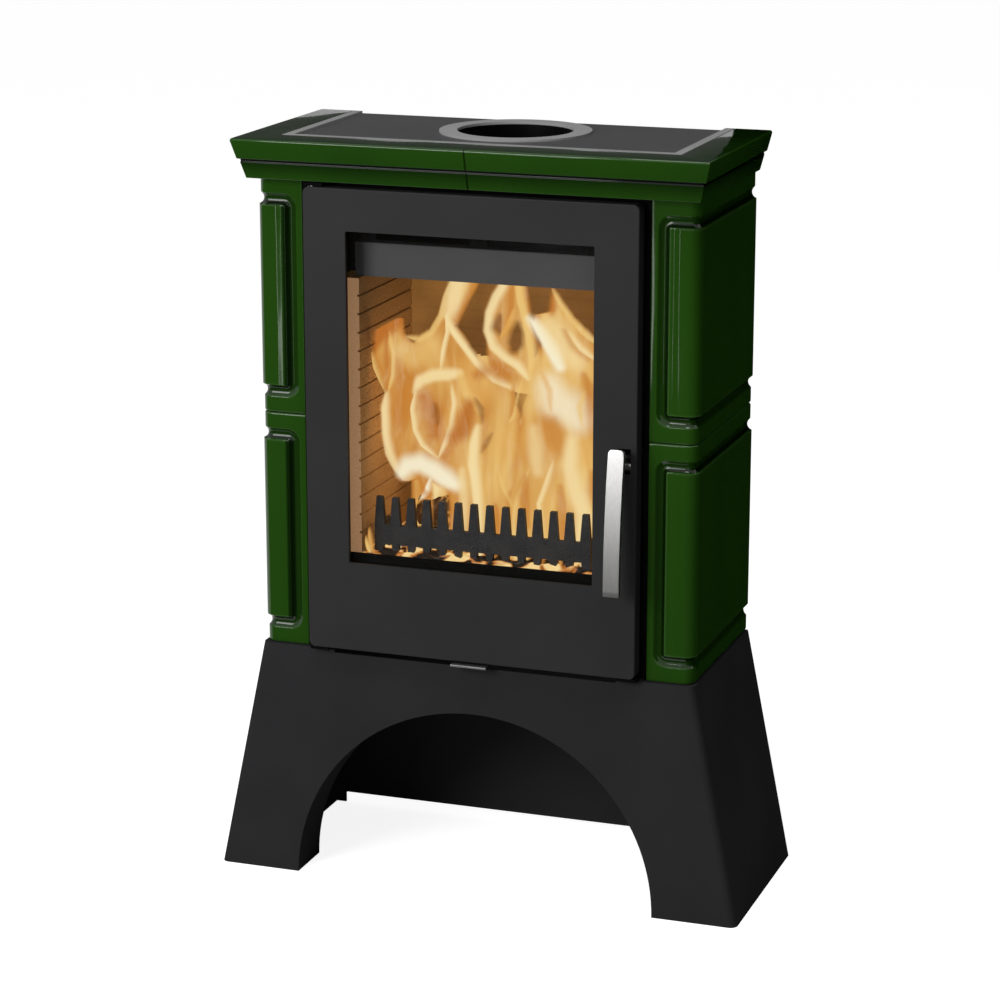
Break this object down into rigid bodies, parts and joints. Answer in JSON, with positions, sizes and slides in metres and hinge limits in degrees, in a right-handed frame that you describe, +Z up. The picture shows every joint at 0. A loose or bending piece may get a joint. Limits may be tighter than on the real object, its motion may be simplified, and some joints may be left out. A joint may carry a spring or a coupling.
{
  "type": "tiled stove",
  "caption": "Wood-burning stove with green glazed corner tiles, a flared steel plinth with an arch, a glazed door with a lever handle, and a top flue collar.",
  "frame": {"origin": "centre of the bounding box at floor level", "axes": "+Z up, the front with the door faces -Y, +X to the viewer's right"},
  "size_m": [0.714, 0.319, 0.98],
  "materials": {
    "green_glaze": "gloss",
    "plinth_paint": "satin",
    "stove_paint": "matte",
    "dark_sheet": "matte",
    "frame_paint": "satin",
    "collar_paint": "satin",
    "shield_sheet": "satin",
    "handle_steel": "brushed",
    "bright_steel": "satin",
    "cast_iron": "rough",
    "fire_brick": "matte",
    "glass": "clear",
    "rope": "matte"
  },
  "bodies": {
    "stove": {"air_slide_guide": "stove_paint", "airwash_deflector": "dark_sheet", "arch_lining": "plinth_paint", "ash_pan": "dark_sheet", "back_brick": "fire_brick", "cornice_left": "green_glaze", "cornice_right": "green_glaze", "door_rest": "stove_paint", "face_plate": "stove_paint", "fire_grate": "cast_iron", "firebox_back": "stove_paint", "firebox_floor": "stove_paint", "firebox_roof": "stove_paint", "firebox_side_left": "stove_paint", "firebox_side_right": "stove_paint", "flue_collar": "collar_paint", "hearth_brick": "fire_brick", "hearth_plate": "stove_paint", "heat_shield_screws": "bright_steel", "hinge_bracket_lower": "stove_paint", "hinge_bracket_upper": "stove_paint", "hinge_pin_lower": "bright_steel", "hinge_pin_upper": "bright_steel", "latch_striker": "bright_steel", "log_guard": "cast_iron", "lower_tile_left": "green_glaze", "lower_tile_right": "green_glaze", "plinth_deck": "plinth_paint", "plinth_liner": "plinth_paint", "plinth_shell": "plinth_paint", "rear_heat_shield": "shield_sheet", "side_brick_left": "fire_brick", "side_brick_right": "fire_brick", "side_jacket_left": "dark_sheet", "side_jacket_right": "dark_sheet", "throat_baffle": "fire_brick", "tile_rails_left": "dark_sheet", "tile_rails_right": "dark_sheet", "top_frame": "frame_paint", "top_plate": "stove_paint", "upper_tile_left": "green_glaze", "upper_tile_right": "green_glaze"},
    "door": {"door_frame": "stove_paint", "door_glass": "glass", "glass_seal": "rope", "glass_retainer": "stove_paint", "retainer_screws": "bright_steel", "door_rope_seal": "rope", "hinge_bushes": "bright_steel", "handle_ears": "stove_paint", "handle_pivot_pin": "bright_steel"},
    "handle": {"handle_grip": "handle_steel", "latch_lever": "bright_steel"},
    "air_control": {"air_slider": "bright_steel"}
  },
  "joints": [
    {"name": "door_hinge", "type": "hinge", "parent": "stove", "child": "door", "pos_m": [-0.212, -0.107, 0.62], "axis": [0, 0, -1], "range_deg": [0, 110]},
    {"name": "handle_lever", "type": "hinge", "parent": "door", "child": "handle", "pos_m": [0.205, -0.1085, 0.592], "axis": [-1, 0, 0], "range_deg": [0, 20]},
    {"name": "air_slide", "type": "slide", "parent": "stove", "child": "air_control", "axis": [1, 0, 0], "range_m": [-0.07, 0.07]}
  ]
}
